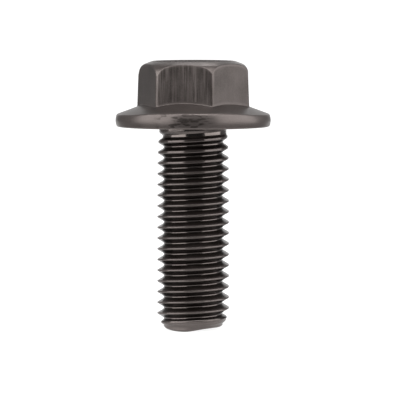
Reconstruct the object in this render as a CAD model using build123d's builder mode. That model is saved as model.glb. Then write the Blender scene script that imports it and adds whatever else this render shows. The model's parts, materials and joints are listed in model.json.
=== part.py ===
"""Hexagon flange bolt, M10 x 1.5, 28 mm long.

The bolt is one cold-forged piece of steel.  A hexagon with drafted flats
stands on a conical flange, and a shank with a plain neck, a thread run-out
and a chamfered point hangs below it.  The shank is drawn at the diameter of
the thread's crests, the way a workshop model shows a thread.

The frame has +Z up along the bolt's axis.  Its origin is the centre of the
bearing face under the flange, from which the length of a bolt is measured.
Two corners of the hexagon lie on the X axis.
"""

import os
from math import cos, radians, tan

from build123d import *

# Shank, from the bearing face down (mm)
shank_length = 28.4
thread_diameter = 9.9
neck_diameter = 9.1
neck_length = 0.6
under_head_cone = 0.4
run_out_length = 4.5
point_diameter = 7.4
point_length = 1.0

# Flange, from the bearing face up (mm and degrees)
flange_diameter = 21.6
rim_thickness = 1.77
rim_bulge = 0.18
rim_bottom_radius = 0.6
flange_slope = 20.5

# Hexagon, widest where it leaves the flange
head_height = 9.05
across_flats = 13.85
hexagon_draft = 1.75
hexagon_corner_radius = 0.5
hexagon_root_radius = 0.4

# Shoulder that rounds off the top corners of the hexagon
shoulder_width = 2.0
shoulder_angle = 22.0
shoulder_radius = 1.0
shoulder_clearance = 0.02

# Places that follow from the sizes above
neck_radius = neck_diameter / 2
thread_radius = thread_diameter / 2
point_radius = point_diameter / 2
rim_radius = flange_diameter / 2
rim_edge_radius = rim_radius - rim_bulge
cone_height = (rim_edge_radius - neck_radius) * tan(radians(flange_slope))
cone_top = rim_thickness + cone_height


def corner_reach(height):
    """Distance from the axis to a rounded corner of the hexagon at this height."""
    narrowing = (height - rim_thickness) * tan(radians(hexagon_draft))
    sharp_corner = (across_flats / 2 - narrowing) / cos(radians(30))
    return sharp_corner - hexagon_corner_radius * (1 / cos(radians(30)) - 1)


# The hexagon rises from inside the flange and narrows towards the top, as it
# has to in order to leave the forging die.
with BuildPart() as hexagon:
    with BuildSketch(Plane.XY.offset(rim_thickness)):
        RegularPolygon(radius=across_flats / 2, side_count=6, major_radius=False)
    extrude(amount=head_height - rim_thickness, taper=hexagon_draft)
    corners = hexagon.edges().filter_by(Axis.Z, tolerance=2 * hexagon_draft)
    fillet(corners, radius=hexagon_corner_radius)

    # The shoulder is a shallow cone with a round edge, turned about the axis.
    # Where it meets the six flats it leaves the arches of a hexagon head.  Its
    # side follows the corners of the hexagon just outside them.
    top_face_radius = corner_reach(head_height) - shoulder_width
    shoulder_height = head_height - shoulder_width * tan(radians(shoulder_angle))
    shoulder_edge = (corner_reach(shoulder_height) + shoulder_clearance, shoulder_height)
    with BuildSketch(Plane.XZ) as shoulder:
        with BuildLine():
            Polyline(
                (0, rim_thickness),
                (corner_reach(rim_thickness) + shoulder_clearance, rim_thickness),
                shoulder_edge,
                (top_face_radius, head_height),
                (0, head_height),
                close=True,
            )
        make_face()
        fillet(shoulder.vertices().sort_by_distance(shoulder_edge)[0], radius=shoulder_radius)
    revolve(axis=Axis.Z, mode=Mode.INTERSECT)

with BuildPart() as flange_bolt:
    # The flange is a cone.  Its rim bulges where the steel flowed outwards, with
    # a crisp top edge and a round bottom edge.
    with BuildSketch(Plane.XZ) as flange:
        with BuildLine():
            Polyline(
                (rim_edge_radius, rim_thickness),
                (neck_radius, cone_top),
                (0, cone_top),
                (0, 0),
                (rim_edge_radius, 0),
            )
            ThreePointArc(
                (rim_edge_radius, 0),
                (rim_radius, rim_thickness / 2),
                (rim_edge_radius, rim_thickness),
            )
        make_face()
        rim_bottom = flange.vertices().sort_by_distance((rim_edge_radius, 0))[0]
        fillet(rim_bottom, radius=rim_bottom_radius)
    revolve(axis=Axis.Z)

    # The hexagon's flats and corners run into the cone with a small root radius.
    add(hexagon.part)
    fillet(flange_bolt.edges(Select.NEW), radius=hexagon_root_radius)

    # The shank is turned about the same axis.  A small cone strengthens it under
    # the head, the crests of the thread rise from the neck over the run-out, and
    # the point leads the bolt into its nut.
    with BuildSketch(Plane.XZ):
        with BuildLine():
            Polyline(
                (0, 0),
                (neck_radius + under_head_cone, 0),
                (neck_radius, -under_head_cone),
                (neck_radius, -neck_length),
                (thread_radius, -neck_length - run_out_length),
                (thread_radius, -shank_length + point_length),
                (point_radius, -shank_length),
                (0, -shank_length),
                close=True,
            )
        make_face()
    revolve(axis=Axis.Z)

flange_bolt.part.label = "flange_bolt"

os.makedirs("parts", exist_ok=True)
export_step(flange_bolt.part, "parts/flange_bolt.step")
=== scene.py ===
# %% [markdown]
# # A hexagon flange bolt in dark phosphated steel
#
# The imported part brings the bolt's true sizes, with a plain shank.  This lesson gives it the looks
# of the real thing: the rolled thread, the soft edges of a cold-forged head, and the thin dark
# coating of zinc phosphate and oil that such bolts are sold with.  Everything is in the frame of
# the part: +Z is up along the bolt's axis, and the origin is the centre of the bearing face.

# %% Load the part
import json

import bmesh
import bpy
import numpy as np
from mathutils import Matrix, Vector


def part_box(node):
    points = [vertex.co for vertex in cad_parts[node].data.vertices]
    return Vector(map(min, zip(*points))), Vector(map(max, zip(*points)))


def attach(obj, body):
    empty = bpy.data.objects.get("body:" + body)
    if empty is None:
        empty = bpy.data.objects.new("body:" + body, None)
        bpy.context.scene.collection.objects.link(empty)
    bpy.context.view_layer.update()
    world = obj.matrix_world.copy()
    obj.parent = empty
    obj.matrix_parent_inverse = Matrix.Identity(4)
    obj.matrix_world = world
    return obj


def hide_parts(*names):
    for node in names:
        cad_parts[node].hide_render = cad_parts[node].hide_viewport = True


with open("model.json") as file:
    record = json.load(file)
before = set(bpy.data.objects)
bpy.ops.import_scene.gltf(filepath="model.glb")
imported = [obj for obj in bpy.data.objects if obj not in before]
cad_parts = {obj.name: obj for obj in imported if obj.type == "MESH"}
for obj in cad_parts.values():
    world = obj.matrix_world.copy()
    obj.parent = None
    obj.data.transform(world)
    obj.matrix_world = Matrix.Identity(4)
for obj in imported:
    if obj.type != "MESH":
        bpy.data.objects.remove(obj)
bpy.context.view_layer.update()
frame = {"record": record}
part_low, part_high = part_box("flange_bolt")

# %% [markdown]
# ## Sizes
#
# The main lengths are read from the part's box and from its mounts, so the looks can't drift away
# from it.  The rim and the crests of a real bolt reach a few hundredths of a millimetre further
# than the part's, and that is added.  All other sizes are a forger's and a thread roller's own
# numbers, and stand in the cells that use them.  They are in millimetres, because that is how a
# bolt is measured, and the mesh is turned into metres at the end.

# %% Sizes that the part brings
MM = 0.001
rim_allowance = 0.06
crest_allowance = 0.09
mounts = {mount["name"]: mount["dims"] for mount in frame["record"]["mounts"]}

rim_radius = part_high[0] / MM + rim_allowance
head_height = part_high[2] / MM
shank_length = -part_low[2] / MM
crest_radius = mounts["threaded_shank"]["r_mm"] + crest_allowance
print(f"rim {rim_radius:.3f} mm, head {head_height:.2f} mm")
print(f"shank {shank_length:.2f} mm, crests {crest_radius:.2f} mm from the axis")

# %% [markdown]
# ## One skin for the whole bolt
#
# A bolt is one piece of steel, so its skin is one closed surface.  It could be cut from blocks with
# booleans, but a thread cut that way comes out ragged.  Here it is a function of two parameters
# instead.  One goes round the axis and gives the columns.  The other goes down the bolt, from the
# middle of the top face over the head, the flange and the thread to the middle of the point, and
# gives the rows.
#
# The columns stand closer together at the six corners of the hexagon, where the surface turns
# quickly.  The last column lies on the first and is merged with it.

# %% Columns round the axis
corner_span = 2.2
corner_columns, flat_columns = 7, 35


def columns_round():
    """Angles in degrees, the same in each sixth of a turn.

    Fine steps go from corner_span before a corner to corner_span after it.  Even steps then go
    over the flat to the next corner.
    """
    corner = np.linspace(-corner_span, corner_span, corner_columns)
    flat = np.linspace(corner_span, 60 - corner_span, flat_columns)[1:-1]
    sixth = np.concatenate([corner, flat])
    turn = (sixth[None, :] + 60 * np.arange(6)[:, None]).ravel()
    return np.append(turn, turn[0] + 360)


angle = columns_round()
turn = np.radians(angle)
print(len(angle), "columns")

# %% [markdown]
# ## The hexagon
#
# Seen from above, the hexagon is a straight flat that ends in a small arc at each corner.  From the
# side it gets narrower towards the top, because a forging has to leave its die.  A cylinder with
# six sides and a bevel would come close.  A formula for its distance from the axis, at any angle
# and height, is no harder, and the other shapes of the head can then be found from it.

# %% The hexagon's reach
rim_thickness = 1.77
across_flats = 13.96
flat_draft = np.tan(np.radians(1.75))
corner_radius = 0.5


def hexagon_reach(column_angle, height):
    """Distance from the axis to the hexagon.

    The half width across flats shrinks with the draft.  Over a flat the distance is that half width
    divided by the cosine of the angle from the flat's middle.  Over a corner it is where the ray
    from the axis leaves the corner's small circle: along the ray to the foot of the centre, plus
    the rest of the radius by Pythagoras.
    """
    from_flat = np.abs(column_angle % 60 - 30)
    half = across_flats / 2 - (height - rim_thickness) * flat_draft
    flat = half / np.cos(np.radians(from_flat))
    centre = (half - corner_radius) / np.cos(np.radians(30))
    aside = centre * np.sin(np.radians(30 - from_flat))
    along = centre * np.cos(np.radians(30 - from_flat))
    corner = along + np.sqrt(np.maximum(corner_radius**2 - aside**2, 0))
    tangent = (half - corner_radius) * np.tan(np.radians(30)) / half
    return np.where(np.tan(np.radians(from_flat)) > tangent, corner, flat)


print("corners reach", round(float(hexagon_reach(0.0, rim_thickness)), 2), "mm from the axis")

# %% [markdown]
# ## The shoulder
#
# The top of the head is rounded off by a turned shape, a shallow cone with a round edge.  Where it
# crosses a flat, it leaves the arch that every hexagon head has.  It is kept as one curve that
# starts at the top face and ends outside the hexagon.

# %% The shoulder's curve
shoulder_width = 1.96
shoulder_slope = np.tan(np.radians(20.5))
shoulder_radius = 1.62
shoulder_clearance = 0.02
steepest = np.radians(76)
steep_length = 2.5


def shoulder_curve(steps):
    """Points (distance from axis, height) from the top face's edge outwards and down.

    The cone runs out at its slope until the round edge begins.  The edge turns along an arc of
    shoulder_radius until it is steep, and a straight line carries it outside the hexagon.
    """
    edge_height = head_height - shoulder_width * shoulder_slope
    edge = np.array([hexagon_reach(0.0, edge_height) + shoulder_clearance, edge_height])
    shallow = np.arctan(shoulder_slope)
    leg = shoulder_radius * np.tan((np.pi / 2 - shallow) / 2)
    start = edge - leg * np.array([np.cos(shallow), -np.sin(shallow)])
    top = np.array([edge[0] - shoulder_width, head_height])
    cone = top + np.linspace(0, 1, steps)[:, None] * (start - top)
    dip = np.linspace(shallow, steepest, steps)[:, None]
    centre = start - shoulder_radius * np.array([np.sin(shallow), np.cos(shallow)])
    arc = centre + shoulder_radius * np.hstack([np.sin(dip), np.cos(dip)])
    way_down = np.array([np.cos(steepest), -np.sin(steepest)])
    down = arc[-1] + np.linspace(0, steep_length, steps)[1:, None] * way_down
    return np.vstack([cone, arc[1:], down])


shoulder = shoulder_curve(60)
print("the shoulder starts", round(shoulder[0, 0], 2), "mm from the axis")

# %% [markdown]
# ## Rows from line to line
#
# Each stretch of the head is a line between two key points that are known for every column.  A
# forged edge is never sharp, so each key point is replaced by a short parabola that touches both
# lines.  A Bevel modifier would do the same, but with the same width on a corner as on an arch.
# Rows crowd towards the ends of each straight line, which keeps the shading of the flats flat right
# up to their edges.

# %% Helpers for rows
def towards(start, end, length):
    """The point at this length from start on the way to end."""
    way = end - start
    return start + way * (length / np.linalg.norm(way, axis=-1, keepdims=True))


def line(start, end, steps, skip_start=0.0, skip_end=0.0):
    """Rows between start and end: a straight line, with steps that an S curve crowds at both ends.

    The ends themselves, and the lengths to skip beside them, are left to the roundings.
    """
    first, last = towards(start, end, skip_start), towards(end, start, skip_end)
    even = np.linspace(0, 1, steps + 2)
    eased = (0.15 * even + 0.85 * even**2 * (3 - 2 * even))[1:-1, None, None]
    return first * (1 - eased) + last * eased


def rounded(before, corner, after, leg, steps=5):
    """Rows over a corner: a parabola from leg before it to leg after it.

    The corner is the parabola's control point.
    """
    first, last = towards(corner, before, leg), towards(corner, after, leg)
    t = np.linspace(0, 1, steps)[:, None, None]
    return (1 - t) ** 2 * first + 2 * t * (1 - t) * corner + t**2 * last


def point(distance, height):
    """One key point (distance from axis, height) for every column."""
    return np.stack(np.broadcast_arrays(distance + 0 * turn, height), axis=-1)


# %% [markdown]
# ## Arches
#
# The arches are where the shoulder first gets outside the hexagon, which is found for all the
# columns at once.  The tool that forms the shoulder never sits quite on the axis, so the curve is
# moved a little to one side, which makes the arches higher on that side and lower on the other.

# %% Where the shoulder meets the flats
shoulder_off_centre = 0.08
shoulder_side = 10.0
aside = shoulder_off_centre * np.cos(np.radians(angle - shoulder_side))


def shoulder_meets_hexagon():
    """For each column, how far along the shoulder curve it first gets outside the hexagon.

    The excess is the curve's distance from the axis less the hexagon's reach at that height.  The
    first point with a positive excess and the one before it are joined by a straight line, whose
    zero is the crossing.
    """
    excess = shoulder[:, None, 0] + aside - hexagon_reach(angle[None, :], shoulder[:, None, 1])
    outside = np.argmax(excess > 0, axis=0)
    column = np.arange(len(angle))
    low, high = excess[outside - 1, column], excess[outside, column]
    return outside - 1 + low / (low - high)


def along_shoulder(place):
    """The curve's point at a place that may lie between two of its points, moved off centre."""
    index = np.arange(len(shoulder))
    distance, height = (np.interp(place, index, shoulder[:, axis]) for axis in (0, 1))
    return np.stack([distance + aside, height], axis=-1)


crossing = shoulder_meets_hexagon()
arch = along_shoulder(crossing)
print(f"arches from {arch[:, 1].min():.2f} to {arch[:, 1].max():.2f} mm")

# %% [markdown]
# ## The flange
#
# Steel that has nowhere else to go makes the flange: a cone under the hexagon, with a rim that
# bulges where it flowed outwards.  The bearing face is dished, so that the bolt sits on its rim and
# springs when it is tightened.  The two halves of the die were not quite level, which leaves one
# side of the flange thicker than the rest.

# %% Key points of the flange
rim_bulge = 0.18
flange_slope = np.tan(np.radians(20.2))
bearing_dish = 0.13
thick_side, thick_side_width = -80.0, 45.0
thicker_rim, thicker_root = 0.43, 0.25
root_guess = 3.2

cone_edge = rim_radius - rim_bulge
from_thick_side = (angle - thick_side + 180) % 360 - 180
thick = np.exp(-((from_thick_side / thick_side_width) ** 4))
rim_height = rim_thickness - bearing_dish + thicker_rim * thick


def find_root_height():
    """Height at which flats and corners meet the cone.

    The cone rises by its slope times the way in from its edge to the hexagon.  The hexagon's reach
    depends on that height in turn, so both are worked out a few times, until they agree.
    """
    height = np.full_like(turn, root_guess)
    for _ in range(6):
        way_in = cone_edge - hexagon_reach(angle, height)
        height = rim_thickness - bearing_dish + thicker_root * thick + way_in * flange_slope
    return height


root_height = find_root_height()
root = point(hexagon_reach(angle, root_height), root_height)
rim_top = point(cone_edge, rim_height)
rim_bottom = point(cone_edge, -bearing_dish)
print(f"roots from {root_height.min():.2f} to {root_height.max():.2f} mm")

# %% [markdown]
# ## Rows over the head
#
# The head is now a list of stretches from the middle of the top face to the bearing face.  Each
# also says how much paler its coating is made, from 0 for a plain face to 1 for the rim's lower
# edge, on which a bolt rolls and slides.  This is partly wear and partly a painted highlight
# along the rounded edges, the concave root of the hexagon among them.

# %% Rows of the head
# How far the rounding of each key point reaches along the lines beside it
top_leg, arch_leg, root_leg, rim_top_leg, rim_bottom_leg = 0.18, 0.10, 0.20, 0.14, 0.22
# The top face's hollow, the wall's key point below the arch, the bearing face's ring off the thread
top_dish, below_arch, ring_clearance = 0.06, 0.6, 0.1
# Points of the shoulder's curve left out at its start and before the arch, and those for a tangent
slope_start, slope_gap, near_gap, near_least = 12.0, 8.0, 3.0, 1.5


def bulge_rows(steps):
    """The rim's side: a parabola through both edges of the rim, rim_bulge proud in its middle.

    Two rows at each end are left to the roundings.
    """
    down = np.linspace(0, 1, steps)[2:-2, None]
    distance = cone_edge + 4 * rim_bulge * down * (1 - down)
    height = rim_height * (1 - down) - bearing_dish * down
    return np.stack(np.broadcast_arrays(distance + 0 * turn, height), axis=-1)


def slope_rows(steps):
    """The shoulder from just outside the top face to just before its arch, in even steps."""
    along = np.linspace(0, 1, steps)[:, None]
    return along_shoulder(slope_start + along * (crossing - (slope_start + slope_gap))[None, :])


def head_rows():
    """Stretches from the top face's middle to the bearing face, each with how pale it is made."""
    middle = point(0.0, head_height - top_dish)
    top = point(shoulder[0, 0] + aside, head_height)
    near_arch = along_shoulder(np.maximum(crossing - near_gap, near_least))
    wall_height = arch[:, 1] - below_arch
    wall_top = point(hexagon_reach(angle, wall_height), wall_height)
    slope, bulge = slope_rows(10), bulge_rows(15)
    flat_ring = point(crest_radius + ring_clearance, 0.0)
    # The second number of each stretch makes its coating paler: wear on the rim, and a painted
    # highlight along the rounded edges and the concave root.
    return [
        (middle[None], 0.0),
        (line(middle, top, 5, 0, top_leg), 0.0),
        (rounded(middle, top, slope[0], top_leg, 4), 0.5),
        (slope, 0.35),
        (rounded(near_arch, arch, wall_top, arch_leg), 0.6),
        (line(arch, root, 7, arch_leg, root_leg), 0.0),
        (rounded(arch, root, rim_top, root_leg, 6), 0.25),
        (line(root, rim_top, 7, root_leg, rim_top_leg), 0.2),
        (rounded(root, rim_top, bulge[0], rim_top_leg), 0.75),
        (bulge, 0.5),
        (rounded(bulge[-1], rim_bottom, flat_ring, rim_bottom_leg, 6), 1.0),
        (line(rim_bottom, flat_ring, 6, rim_bottom_leg, 0), 0.0),
        (flat_ring[None], 0.0),
    ]


head_parts = head_rows()
head = np.concatenate([part for part, _ in head_parts])
head_wear_and_highlight = np.concatenate([np.full(len(part), rubbed_or_lit) for part, rubbed_or_lit in head_parts])
print(len(head), "rows over the head")

# %% [markdown]
# ## The rolled thread
#
# A thread is rolled, not cut: two dies press the grooves into the blank and the steel flows up
# into the crests.  It could be a profile swept along a helix, but the sweep would have to be joined
# to the neck and to the point.  Here the thread stays a part of the one skin, and only the distance
# from the axis changes.
#
# The thread starts right under the head.  At the other end it stops above a stub, whose edge hangs
# lower on one side, because the dies push the bolt's skin down unevenly.

# %% Where the thread ends
helix_start = -1.547
thread_top = -0.02
lip_height = 0.2 - shank_length
lip_drop = 0.49
low_side, low_width_left, low_width_right = -101, 64, 36
stub_height = 0.3


def smooth_larger(a, b, blend):
    """The larger of two values, with the kink between them rounded over a difference of blend."""
    share = np.clip(0.5 + 0.5 * (a - b) / blend, 0, 1)
    return b + (a - b) * share + blend * share * (1 - share)


def ramp(value, low, high):
    """0 below low, 1 above high, and a smooth S between them."""
    t = np.clip((value - low) / (high - low), 0, 1)
    return t * t * (3 - 2 * t)


def lip_depth():
    """Height of the point's lip.  One side hangs lower, by a bell curve, wider to its left."""
    from_low = (angle - low_side + 180) % 360 - 180
    width = np.where(from_low > 0, low_width_right, low_width_left)
    return lip_height - lip_drop * np.exp(-((from_low / width) ** 2))


lip = lip_depth()
thread_end = lip + stub_height
print(f"the lip hangs at {lip.min():.2f} to {lip.max():.2f} mm")

# %% [markdown]
# ## The profile of the thread
#
# In section a metric thread is a row of triangles with 60 degrees between their flanks, cut off at
# the crest and rounded at the root.  So its distance from the axis is a straight flank that is
# limited by a crest and by a floor, with soft kinks between the three.
#
# Near the head the dies let go of the blank: the grooves get shallow and end in the plain neck,
# and the crests are not quite full.  At the point the last crest is low.

# %% Thread profile
pitch = 1.5
neck_radius = 4.73
root_radius = 4.11
under_head_radius = 0.15
half_crest = 1 / 16
flank_slope = np.tan(np.radians(60))

# What the crest lacks at the head, and the length over which that falls to about a third
missing_crest, missing_crest_fade = 0.40, 2.2
# How far the last crests drop, and the depths below the head between which they do
crest_drops = [(0.52, 26.2, 27.5), (0.55, 27.6, 27.95)]
# Heights between which the floor rises to the neck, and the shallow groove below them
run_out = (-1.7, -0.5)
shallow_groove, shallow_from, shallow_to = 0.12, (-2.9, -2.3), (0.5, 1.4)
# Roundness of the crest's edges and of the groove, which has less once its floor is this shallow
crest_blend, groove_blend, less_blend_at_neck, less_blend_from = 0.04, 0.22, 0.19, 0.25


def thread_parts(column_angle, height):
    """The flank, the crest and the floor of the groove, as distances from the axis.

    The place in the pitch is the height over the helix, in pitches, wrapped to between -0.5 at one
    root and 0.5 at the next.  From the crest's edge, a sixteenth of a pitch from its middle, the
    flank falls at 60 degrees.  Crest and floor change along the helix only, so they are worked out
    at the middle of their own crest or groove: the crest loses less the further it is from the head
    and drops twice near the point, and the floor rises to the neck over the run-out.
    """
    place = (height - helix_start) / pitch - column_angle / 360
    place = place - np.round(place)
    crest_middle = height - place * pitch
    groove_middle = crest_middle + np.where(place > 0, 0.5, -0.5) * pitch
    flank = crest_radius - (np.abs(place) - half_crest) * pitch * flank_slope
    crest = crest_radius - missing_crest * np.exp(crest_middle / missing_crest_fade)
    for drop, from_depth, to_depth in crest_drops:
        crest = crest - drop * ramp(-height, from_depth, to_depth)
    floor = root_radius + (neck_radius - root_radius) * ramp(groove_middle, *run_out)
    lower_side, upper_side = ramp(groove_middle, *shallow_from), ramp(-groove_middle, *shallow_to)
    return flank, crest, floor + shallow_groove * lower_side * upper_side


def thread_reach(column_angle, height):
    """Distance from the axis to the thread: the flank, cut off by the crest and by the floor.

    Under the head a quarter of a circle widens the neck into the bearing face.
    """
    flank, crest, floor = thread_parts(column_angle, height)
    shallow = ramp(floor, root_radius + less_blend_from, neck_radius)
    blend = groove_blend - less_blend_at_neck * shallow
    full = smooth_larger(-smooth_larger(-flank, -crest, crest_blend), floor, blend)
    into_head = np.clip(height + under_head_radius, 0, under_head_radius)
    fillet = neck_radius + under_head_radius - np.sqrt(under_head_radius**2 - into_head**2)
    return np.where(into_head > 0, np.maximum(full, fillet), full)


print(f"the thread is {crest_radius - root_radius:.2f} mm deep")

# %% [markdown]
# ## Rows that climb
#
# A helix that crosses level rows looks like a saw.  Here the rows themselves climb with it, one
# pitch for each turn, so that crest and root run along the rows and stay sharp.  The last column of
# a row then meets the first column of the row one pitch higher.  Rows that would leave the threaded
# stretch are held at its end, where they merge into one ring.

# %% Rows of the thread
steps_in_half_pitch = np.array([0, 0.052, 0.066, 0.08, 0.2, 0.335, 0.39, 0.44, 0.5])


def thread_rows():
    """Rows that climb with the helix, from the top down, held between both ends of the thread.

    Each pitch has the same steps, close together at the crest's edges and at the root.  A row's
    height is its step plus the pitch times its angle over a whole turn.
    """
    offsets = np.concatenate([steps_in_half_pitch, 1 - steps_in_half_pitch[-2:0:-1]])
    first = int(np.floor((thread_end.min() - helix_start) / pitch)) - 2
    last = int(np.ceil((thread_top - helix_start) / pitch)) + 1
    levels = (np.arange(first, last)[:, None] + offsets[None, :]).ravel() * pitch + helix_start
    levels = levels[::-1, None] + pitch * angle[None, :] / 360
    used = (levels > thread_end).any(axis=1) & (levels < thread_top).any(axis=1)
    levels = np.concatenate([levels[used], [thread_end]])
    held = np.clip(levels, thread_end, thread_top)
    height = np.concatenate([np.full_like(levels[:1], thread_top), held])
    return np.stack([thread_reach(angle[None, :], height), height], axis=-1)


thread = thread_rows()
print(len(thread), "rows over the thread")

# %% [markdown]
# ## The point
#
# Below the last crest the bolt ends in a short stub, a little thinner than the thread's root.  Its
# edge is the lip that the dies have pushed down, round a shallow hollow.

# %% Rows of the point
stub_radius = 3.86
stub_leg = 0.22
hollow_radius = 2.6
hollow_height = -28.0
hollow_follows_lip = 0.4
hollow_middle = -27.95


def point_rows():
    """From the thread's last ring down to the lip, over its round edge, and into the hollow.

    The hollow's ring lies between the lip's height and an even height, so it tilts with the lip.
    """
    start, side = thread[-1], point(stub_radius, lip)
    ring_height = lip * hollow_follows_lip + hollow_height * (1 - hollow_follows_lip)
    hollow, middle = point(hollow_radius, ring_height), point(0.0, hollow_middle)
    stretches = [
        rounded(start, side, hollow, stub_leg, 6),
        line(side, hollow, 4, stub_leg, 0),
        hollow[None],
        line(hollow, middle, 4),
        middle[None],
    ]
    return np.concatenate(stretches)


end = point_rows()
print(len(end), "rows over the point")

# %% [markdown]
# ## From rows to a mesh
#
# Each point's distance from the axis and height become x, y and z.  Neighbouring rows and columns
# are joined by four-sided faces that look outwards.  Merging the doubles closes the seam, the two
# poles and both ends of the thread.

# %% Points and faces
rows = np.concatenate([head, thread, end])


def cylinder_points(rows):
    """x and y are the distance from the axis times the cosine and sine of the column's angle."""
    distance, height = rows[..., 0], rows[..., 1]
    return np.stack([distance * np.cos(turn), distance * np.sin(turn), height], axis=-1) * MM


def grid_faces(row_count, column_count):
    """Four corners for each cell: here, a row down, a row down and a column on, a column on."""
    corner = np.arange(row_count * column_count).reshape(row_count, column_count)
    cells = [corner[:-1, :-1], corner[1:, :-1], corner[1:, 1:], corner[:-1, 1:]]
    return np.stack(cells, axis=-1).reshape(-1, 4)


print(len(rows), "rows in all")

# %% [markdown]
# ## What the finish has to know
#
# The coating on edges and crests is worn, and they get a painted highlight as well.  The stub
# below the thread gets a painted reflection, the flanks a painted shade, and the grooves hold oil
# with a painted sheen.  Each flat was drawn by its own side of the die.  All that depends on the
# place on the bolt, which a pattern can't find out.  It could be painted on a picture, but the rows
# and columns already know it, so each value is kept at the vertices, between 0 and 1, and the
# material reads it there.

# %% Values at every vertex
# How strongly the die has streaked each of the six flats
streaks_on_flats = np.array([0.35, 0.6, 0.25, 0.09, 1.0, 0.09])
# Angles round the bolt, and how high the last crest's lower edge is there
last_crest_at = ([0, 90, 180, 360], [-27.05, -27.75, -27.75, -27.05])
# Degrees from a corner between which it turns into a flat, on the hexagon and on the shoulder
corner_to_flat, shoulder_corner_to_flat = (1.6, 2.8), (5.0, 16.0)
# Wear and painted highlight of a corner at its foot, how much more it gets, and the heights
# between which it does
foot_wear_and_highlight, more_wear_and_highlight, wear_and_highlight_heights = 0.12, 0.6, (5.0, 7.0)
# How much paler the shoulder's corners and the crests get, by wear and by a painted highlight
shoulder_corner_wear_and_highlight, crest_wear_and_highlight = 0.95, 0.72


def values_on_head(distance, height):
    """Where the corners, the streaked flats, the shoulder's corners, the top and the rim are.

    A corner of the hexagon gets paler from the middle of its height upwards, by wear and by a
    painted highlight.  A flat is the rest of the hexagon, times how strongly the die has streaked
    it.  The short lengths are margins that keep each place clear of the roundings beside it.
    """
    from_corner = np.abs((angle + 30) % 60 - 30)
    arch_height = arch[None, :, 1]
    on_hexagon = (height > root_height[None, :] + 0.2) & (height < arch_height + 0.05)
    beside_corner = ramp(from_corner, *corner_to_flat)
    corner_wear_and_highlight = foot_wear_and_highlight + more_wear_and_highlight * ramp(height, *wear_and_highlight_heights)
    corner = on_hexagon * (1 - beside_corner) * corner_wear_and_highlight
    flat = on_hexagon * beside_corner * streaks_on_flats[(angle % 360 // 60).astype(int)]
    on_shoulder = (height > arch_height - 0.02) & (distance > shoulder[0, 0] + 0.3)
    shoulder_corner = on_shoulder * (1 - ramp(from_corner, *shoulder_corner_to_flat))
    top = (height > head_height - 0.2) & (distance < shoulder[0, 0] - 0.1)
    rim = (height > -bearing_dish + 0.1) & (height < rim_height - 0.05)
    rim = rim & (distance > cone_edge - 0.02)
    return corner, flat, shoulder_corner, top, rim


def values_on_thread(distance, height):
    """Where the thread, its crests and the floors of its grooves are, and what lies below it.

    A crest or a floor is where the distance from the axis is within a few hundredths of a
    millimetre of the profile's own crest or floor.  The floor counts less where it is shallow.
    """
    _, crest_reach, floor_reach = thread_parts(angle[None, :], height)
    last_crest = np.interp(angle % 360, *last_crest_at)[None, :]
    below_last = 1 - ramp(height - last_crest, -0.08, 0.0)
    in_thread = ramp(-height, 0.05, 0.2) * (1 - below_last)
    crest = in_thread * ramp(distance - crest_reach, -0.14, -0.03)
    groove = in_thread * (1 - ramp(distance - floor_reach, 0.005, 0.04))
    groove = groove * (1 - 0.25 * ramp(floor_reach - root_radius, 0.02, 0.2))
    return in_thread, crest, groove, below_last


def vertex_values(rows):
    """The values that the finish reads.  Wear and highlight is the largest of all ways to be paler.
    """
    distance, height = rows[..., 0], rows[..., 1]
    elsewhere = np.zeros(len(thread) + len(end))
    rubbed_or_lit = np.concatenate([head_wear_and_highlight, elsewhere])[:, None] + 0 * distance
    corner, flat, shoulder_corner, top, rim = values_on_head(distance, height)
    in_thread, crest, groove, below_last = values_on_thread(distance, height)
    shoulder_wear_and_highlight = shoulder_corner_wear_and_highlight * shoulder_corner
    # Crests and corners get paler by wear and a painted highlight, and the stub below the last crest
    # by a painted reflection
    ways = [rubbed_or_lit, corner, shoulder_wear_and_highlight, crest_wear_and_highlight * crest, below_last]
    return {
        "worn": np.maximum.reduce(ways),
        "rolled": in_thread,
        "groove": groove,
        # The flanks are only darkened in the tone, a painted shade between the crests
        "flank": in_thread * (1 - crest) * (1 - groove),
        "flat": flat,
        "top": top.astype(float),
        "rim": rim.astype(float),
    }


# %% [markdown]
# ## The mesh
#
# The points and faces go into one mesh, and each list of values becomes an attribute of its
# vertices.  Doubles are merged last, with the values in place, and the shading is smooth all over:
# every edge of the bolt has its own rounding, so none needs to be marked as sharp.

# %% Build the mesh
same_point = 0.0001 * MM


def make_bolt():
    """The bolt's skin as one mesh object, with its values per vertex, merged and smooth."""
    mesh = bpy.data.meshes.new("bolt_skin")
    points = cylinder_points(rows)
    mesh.from_pydata(points.reshape(-1, 3), [], grid_faces(*points.shape[:2]))
    for name, value in vertex_values(rows).items():
        layer = mesh.attributes.new(name, "FLOAT", "POINT")
        layer.data.foreach_set("value", value.ravel())
    work = bmesh.new()
    work.from_mesh(mesh)
    bmesh.ops.remove_doubles(work, verts=work.verts, dist=same_point)
    print("open edges:", sum(1 for edge in work.edges if not edge.is_manifold))
    print("volume:", round(work.calc_volume(signed=True) / MM**3, 1), "cubic mm")
    work.to_mesh(mesh)
    work.free()
    mesh.shade_smooth()
    bolt = bpy.data.objects.new("bolt_skin", mesh)
    bpy.context.scene.collection.objects.link(bolt)
    return bolt


bolt = make_bolt()
print("triangles:", sum(len(face.vertices) - 2 for face in bolt.data.polygons))

# %% [markdown]
# ## Sums with sockets
#
# A finish is a sum of small effects.  Wiring Math nodes by hand hides that, so this small class
# wraps a socket and lets Python's own signs add the nodes: `1 - worn` is one Math node.

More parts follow.
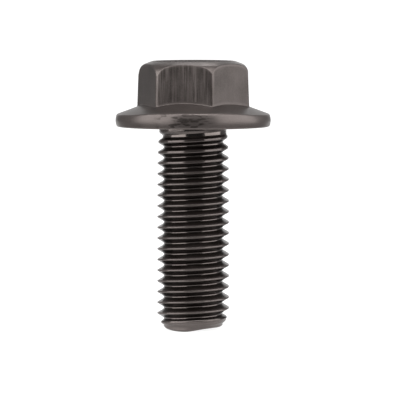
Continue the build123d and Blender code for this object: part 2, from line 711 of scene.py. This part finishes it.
# %% A socket that can be added and multiplied
class Wire:
    """One socket of a node tree.  A sum or a product of wires and numbers is a wire too."""

    def __init__(self, tree, socket):
        self.tree, self.socket = tree, socket

    @classmethod
    def node(cls, tree, kind, settings=None, inputs=None, output=0):
        """Adds a node.  Its settings come first, because they can change its sockets."""
        node = tree.nodes.new(kind)
        for name, value in (settings or {}).items():
            setattr(node, name, value)
        for name, value in (inputs or {}).items():
            if isinstance(value, cls):
                tree.links.new(value.socket, node.inputs[name])
            else:
                node.inputs[name].default_value = value
        return cls(tree, node.outputs[output]) if len(node.outputs) else node

    def math(self, operation, first, second):
        """A Math node for two numbers or wires."""
        settings, inputs = {"operation": operation}, {0: first, 1: second}
        return Wire.node(self.tree, "ShaderNodeMath", settings, inputs)

    def __add__(self, other):
        return self.math("ADD", self, other)

    def __sub__(self, other):
        return self.math("SUBTRACT", self, other)

    def __rsub__(self, other):
        return self.math("SUBTRACT", other, self)

    def __mul__(self, other):
        return self.math("MULTIPLY", self, other)

    __radd__, __rmul__ = __add__, __mul__

    def vector(self, operation, inputs=None, output=0):
        """A Vector Math node on this place or direction."""
        settings, inputs = {"operation": operation}, {0: self, **(inputs or {})}
        return Wire.node(self.tree, "ShaderNodeVectorMath", settings, inputs, output)

    def stretched(self, factors):
        """A place with each axis multiplied: a pattern gets long where its factor is small."""
        return self.vector("MULTIPLY", {1: factors})

    def along(self, way):
        """How far a place or a direction reaches along another direction."""
        return self.vector("DOT_PRODUCT", {1: way}, "Value")

    def between(self, low, high):
        """0 where the wire is at low, 1 at high, and a smooth S between them."""
        inputs = {"Value": self, "From Min": low, "From Max": high}
        settings = {"interpolation_type": "SMOOTHSTEP"}
        return Wire.node(self.tree, "ShaderNodeMapRange", settings, inputs)

    def tint(self, colour, other):
        """The first colour where the wire is 0 and the other where it is 1."""
        settings, inputs = {"data_type": "RGBA"}, {0: self, 6: colour, 7: other}
        return Wire.node(self.tree, "ShaderNodeMix", settings, inputs, 2)


def empty_tree(owner):
    """The node tree of a new material or world, cleared."""
    owner.use_nodes = True
    owner.node_tree.nodes.clear()
    return owner.node_tree


def blended(base, effects, amounts):
    """The base plus each effect times its amount."""
    for name, amount in amounts.items():
        base = base + effects[name] * amount
    return base


# %% [markdown]
# ## Phosphate and oil
#
# Zinc phosphate grows on steel as fine grey-brown crystals, and the oil that they soak up makes
# them dark and satin.  The grain is too fine to see one by one, so it shows as an uneven gloss.
# On the flats of the hexagon the die has drawn upright streaks into the steel, which the coating
# follows, and a few have been scratched bare.  Crests and edges rub against other bolts in the box
# and are a little paler, which is also a painted highlight along them.  The stub below the thread
# is paler as a painted reflection, the flanks of the thread are darker as a painted shade, and the
# grooves hold more oil, which mirrors, with a paler colour that is a painted sheen.  The side of
# the rim has scuffs where it slid against something.
#
# Several coatings could be laid over each other with masks.  Here all of it is one material, which
# is easier to tune: the tone, from oily black to pale grey, and the roughness are each a base
# plus effects, and a table gives how much every effect adds.

# %% Patterns in the coating
def noise(tree, place, scale, detail, roughness=0.5):
    """A cloudy value round 0.5 that changes over about one metre divided by scale."""
    inputs = {"Vector": place, "Scale": scale, "Detail": detail, "Roughness": roughness}
    return Wire.node(tree, "ShaderNodeTexNoise", None, inputs)


def kept(tree, name):
    """One of the values that the mesh keeps at its vertices."""
    return Wire.node(tree, "ShaderNodeAttribute", {"attribute_name": name}, None, "Fac")


cloud_scale, grain_scale, streak_scale, dash_scale, nick_scale = 260, 5200, 3800, 900, 4200
upright, level = (1, 1, 0.03), (1, 1, 3.5)
streak_strength = 1.4
scuffed_side, scuffs_from = (0.06, -1, 0), (9.8 * MM, 10.6 * MM)


def coating_effects(tree, place):
    """Every effect by its name: the kept values, and the patterns that they let through.

    A scuff is a level dash on the front of the rim, and a scratch is the brightest part of a fine
    upright pattern on a strongly streaked flat.
    """
    names = ("worn", "rolled", "groove", "flank", "flat", "top", "rim")
    effects = {name: kept(tree, name) for name in names}
    effects["cloud"] = noise(tree, place, cloud_scale, 4) - 0.5
    effects["grain"] = noise(tree, place, grain_scale, 3) - 0.5
    streak = noise(tree, place.stretched(upright), streak_scale, 3, 0.7)
    effects["drawn"] = effects["flat"] * (streak - 0.5) * streak_strength
    dash = noise(tree, place.stretched(level), dash_scale, 1).between(0.52, 0.6)
    effects["scuff"] = effects["rim"] * dash * place.along(scuffed_side).between(*scuffs_from)
    nick = noise(tree, place.stretched(upright), nick_scale, 0).between(0.66, 0.71)
    effects["scratch"] = effects["flat"].between(0.4, 0.9) * nick
    return effects


# %% The bolt's finish
oily_black, pale_grey = (0.014, 0.0095, 0.0075, 1), (0.163, 0.139, 0.131, 1)
# The grooves turn towards a paler grey, a painted sheen over the real oil's gloss
painted_sheen_grey, painted_sheen_share = (0.25, 0.218, 0.205, 1), 0.6
base_tone, base_roughness, base_metal = 0.5, 0.36, 0.65
tone_amounts = {
    "cloud": 0.5,
    "grain": 0.25,
    "drawn": 0.8,
    # Wear and a painted highlight on edges and crests, and a painted reflection on the stub
    "worn": 0.35,
    # A painted shade on the thread's flanks
    "flank": -0.33,
    "top": -0.08,
    "rim": 0.04,
    "scuff": -0.36,
    "scratch": 0.34,
}
roughness_amounts = {
    "grain": 0.05,
    "cloud": 0.08,
    "worn": -0.03,
    "drawn": -0.12,
    "rolled": -0.16,
    "groove": -0.07,
    "top": 0.34,
    "rim": -0.01,
}
metal_amounts = {"groove": 0.35}
relief_amounts = {"grain": 0.5, "drawn": 0.9}
relief_strength, relief_depth = 0.12, 0.06


def phosphated_steel():
    """The material of the whole bolt."""
    material = bpy.data.materials.new("phosphated_steel")
    tree = empty_tree(material)
    place = Wire.node(tree, "ShaderNodeTexCoord", None, None, "Object")
    effects = coating_effects(tree, place)
    tone = blended(base_tone, effects, tone_amounts).between(0.0, 1.0)
    # In the grooves the colour turns paler, a painted sheen; their lower roughness is the real oil's
    # gloss
    groove_oil_and_sheen = effects["groove"] * painted_sheen_share
    height = blended(0.0, effects, relief_amounts)
    relief = {"Strength": relief_strength, "Distance": relief_depth * MM, "Height": height}
    steel = {
        "Base Color": groove_oil_and_sheen.tint(tone.tint(oily_black, pale_grey), painted_sheen_grey),
        "Roughness": blended(base_roughness, effects, roughness_amounts),
        "Metallic": blended(base_metal, effects, metal_amounts),
        "IOR": 1.5,
        "Normal": Wire.node(tree, "ShaderNodeBump", None, relief),
    }
    shader = Wire.node(tree, "ShaderNodeBsdfPrincipled", None, steel)
    Wire.node(tree, "ShaderNodeOutputMaterial", None, {"Surface": shader})
    print("the finish has", len(tree.nodes), "nodes")
    return material


bolt.data.materials.append(phosphated_steel())
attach(bolt, "root")
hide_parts("flange_bolt")

# %% [markdown]
# ## Paper
#
# The bolt stands on its point on a sheet of white paper, with a card of the same paper far behind.
# A brighter lamp would make the paper white, but it would also wash out the dark steel.  So the
# paper gets a little light of its own, which only camera, glossy and transmission rays find.  It
# adds nothing to the light on the bolt and keeps the bolt's shadow.
#
# What the steel mirrors is most of what one sees of it.  For mirrored rays the paper is bright
# behind the bolt, which draws the edges of the shank, and close round its point, which lights the
# undersides.  Elsewhere it is dark, so that the thread stays black between its crests.  Towards the
# camera the paper itself is dark too and sends hardly any light up at the front.

# %% Directions
camera_side = 10.15


def direction(beside, elevation):
    """A unit vector from the bolt, this many degrees right of the camera and above the level.

    Its parts are the cosine of the elevation times the cosine and the sine of the angle round the
    axis, and the sine of the elevation.
    """
    around = np.radians(camera_side - 90 + beside)
    up = np.radians(elevation)
    return Vector((np.cos(up) * np.cos(around), np.cos(up) * np.sin(around), np.sin(up)))


front, side, back = direction(0, 0), direction(90, 0), direction(180, 0)
print("the camera looks from", tuple(round(v, 3) for v in front))

# %% Paper
white, paper_grey, unlit_grey = (1, 1, 1, 1), (0.3, 0.3, 0.3, 1), (0.03, 0.03, 0.03, 1)
fade_to_front = (0.042, 0.082)
glow_at_bolt, more_glow_far, glow_distance = 0.80, 0.25, (0.012, 0.05)
mirrored_dark, mirrored_behind, mirrored_beneath = 0.03, 0.9, 0.72
behind_from, beneath_to = (0.65, 0.95), (0.035, 0.07)
looking_rays = ("Is Camera Ray", "Is Glossy Ray", "Is Transmission Ray")


def paper_glow(tree, place):
    """Strength of the paper's own light.

    For camera rays it rises from the bolt outwards.  For mirrored rays it is a trace, plus a large
    part within a wedge behind the bolt, plus a smaller part near the bolt outside that wedge.
    """
    seen, glossy, passed = (
        Wire.node(tree, "ShaderNodeLightPath", None, None, name) for name in looking_rays
    )
    out = place.vector("LENGTH", None, "Value")
    behind = place.vector("NORMALIZE").along(back).between(*behind_from)
    beneath = 1 - out.between(*beneath_to)
    looked_at = glow_at_bolt + out.between(*glow_distance) * more_glow_far
    mirrored = mirrored_dark + behind * mirrored_behind + (1 - behind) * beneath * mirrored_beneath
    return seen * looked_at + (glossy + passed) * mirrored


def paper_material():
    """Matt paper that gets darker towards the front, plus its own glow."""
    material = bpy.data.materials.new("paper")
    tree = empty_tree(material)
    place = Wire.node(tree, "ShaderNodeTexCoord", None, None, "Object")
    shade = place.along(front).between(*fade_to_front).tint(paper_grey, unlit_grey)
    light = {"Color": white, "Strength": paper_glow(tree, place)}
    matt = Wire.node(tree, "ShaderNodeBsdfDiffuse", None, {"Color": shade})
    glow = Wire.node(tree, "ShaderNodeEmission", None, light)
    both = Wire.node(tree, "ShaderNodeAddShader", None, {0: matt, 1: glow})
    Wire.node(tree, "ShaderNodeOutputMaterial", None, {"Surface": both})
    return material


# %% Floor and card
floor_width, floor_length, floor_front = 0.6, 4.1, 0.1
card_width, card_height, card_distance = 1.6, 0.95, 2


def sheet(name, across, along, corner, material):
    """A flat sheet of paper from a corner point and the vectors of its two sides."""
    mesh = bpy.data.meshes.new(name)
    points = [corner, corner + across, corner + across + along, corner + along]
    mesh.from_pydata([tuple(p) for p in points], [], [(0, 1, 2, 3)])
    mesh.materials.append(material)
    made = bpy.data.objects.new(name, mesh)
    bpy.context.scene.collection.objects.link(made)
    return made


lowest = min(vertex.co.z for vertex in bolt.data.vertices)
ground = Vector((0, 0, lowest))
paper = paper_material()
floor_corner = ground - side * (floor_width / 2) - back * floor_front
card_corner = ground - side * (card_width / 2) + back * card_distance
sheet("floor", side * floor_width, back * floor_length, floor_corner, paper)
sheet("card", side * card_width, Vector((0, 0, card_height)), card_corner, paper)
print("paper at", round(lowest / MM, 2), "mm")

# %% [markdown]
# ## Light
#
# Satin steel shows its lamps more than its own colour, so each lamp is put where one face mirrors
# it.  Two large soft boxes stand to the left and the right of the bolt, a little above its level,
# and leave a dark gap between them.  Every round surface shows them as one pale bar on each side,
# which is what draws the shape of a thread.  A wide strip above the camera lights the crests and
# the front of the cone, a box overhead fills the cone and the rim from the right, and a small box
# high up behind the bolt is there for the shoulder alone, which is seen at such a low angle that it
# mirrors what lies behind it.

# %% Soft boxes
# Degrees to the right of the camera, degrees up, distance and size in metres, and radiance
soft_boxes = {
    "left_box": (-61, 14, 0.6, (0.74, 0.6), 2.5),
    "right_box": (72, 14, 0.6, (0.84, 0.6), 2.2),
    "top_box": (40, 67, 0.7, (0.4, 0.4), 1.6),
    "front_strip": (0, 50, 0.7, (0.7, 0.28), 3.6),
    "back_box": (178, 54, 0.7, (0.26, 0.22), 3.6),
}


def soft_box(name, beside, elevation, distance, size, radiance):
    """A rectangular lamp that faces the bolt.  Its power is radiance times pi times its area."""
    lamp = bpy.data.lights.new(name, "AREA")
    lamp.shape = "RECTANGLE"
    lamp.size, lamp.size_y = size
    lamp.energy = radiance * np.pi * size[0] * size[1]
    box = bpy.data.objects.new(name, lamp)
    way = direction(beside, elevation)
    box.location = way * distance
    box.rotation_euler = way.to_track_quat("Z", "Y").to_euler()
    box.visible_camera = False
    bpy.context.scene.collection.objects.link(box)
    print(name, "gives", round(lamp.energy, 2), "W")
    return box


for name, setting in soft_boxes.items():
    soft_box(name, *setting)

# %% [markdown]
# ## Walls
#
# The walls of the studio are a world of even grey.  An image of a real room would bring colours and
# windows into the steel.  They get darker behind the camera, which keeps the front of the shank
# dark, and camera rays find plain white in their place.

# %% Studio walls
wall_light, less_at_front, front_from = 0.22, 0.18, (0.2, 0.8)


def studio_walls():
    """Grey walls all round: less light the further a direction points to the front."""
    world = bpy.data.worlds.new("studio")
    tree = empty_tree(world)
    way = Wire.node(tree, "ShaderNodeTexCoord", None, None, "Generated")
    seen = Wire.node(tree, "ShaderNodeLightPath", None, None, "Is Camera Ray")
    grey = wall_light - way.along(front).between(*front_from) * less_at_front
    light = {"Color": white, "Strength": grey * (1 - seen) + seen}
    walls = Wire.node(tree, "ShaderNodeBackground", None, light)
    Wire.node(tree, "ShaderNodeOutputWorld", None, {"Surface": walls})
    return world


bpy.context.scene.world = studio_walls()

# %% [markdown]
# ## Camera
#
# A long lens from a little above the bolt's middle keeps its sides nearly parallel, the way a
# catalogue shows hardware.  A camera without perspective would make them quite parallel, but it
# would look down on the flange as steeply as on the point, and the eye doesn't.

# %% Camera
camera_distance = 0.64
field_width = 0.056
camera_elevation = 3.4
aim_right, aim_height = 0.96, -10.42

camera_data = bpy.data.cameras.new("camera")
camera_data.sensor_width = 36
camera_data.lens = camera_data.sensor_width * camera_distance / field_width
camera_data.clip_start, camera_data.clip_end = 0.05, 30
camera = bpy.data.objects.new("camera", camera_data)
aim = side * (aim_right * MM) + Vector((0, 0, aim_height * MM))
camera_way = direction(0, camera_elevation)
camera.location = aim + camera_way * camera_distance
camera.rotation_euler = camera_way.to_track_quat("Z", "Y").to_euler()
bpy.context.scene.collection.objects.link(camera)
bpy.context.scene.camera = camera
bpy.context.scene.view_settings.view_transform = "Standard"
print("lens:", round(camera_data.lens, 1), "mm")
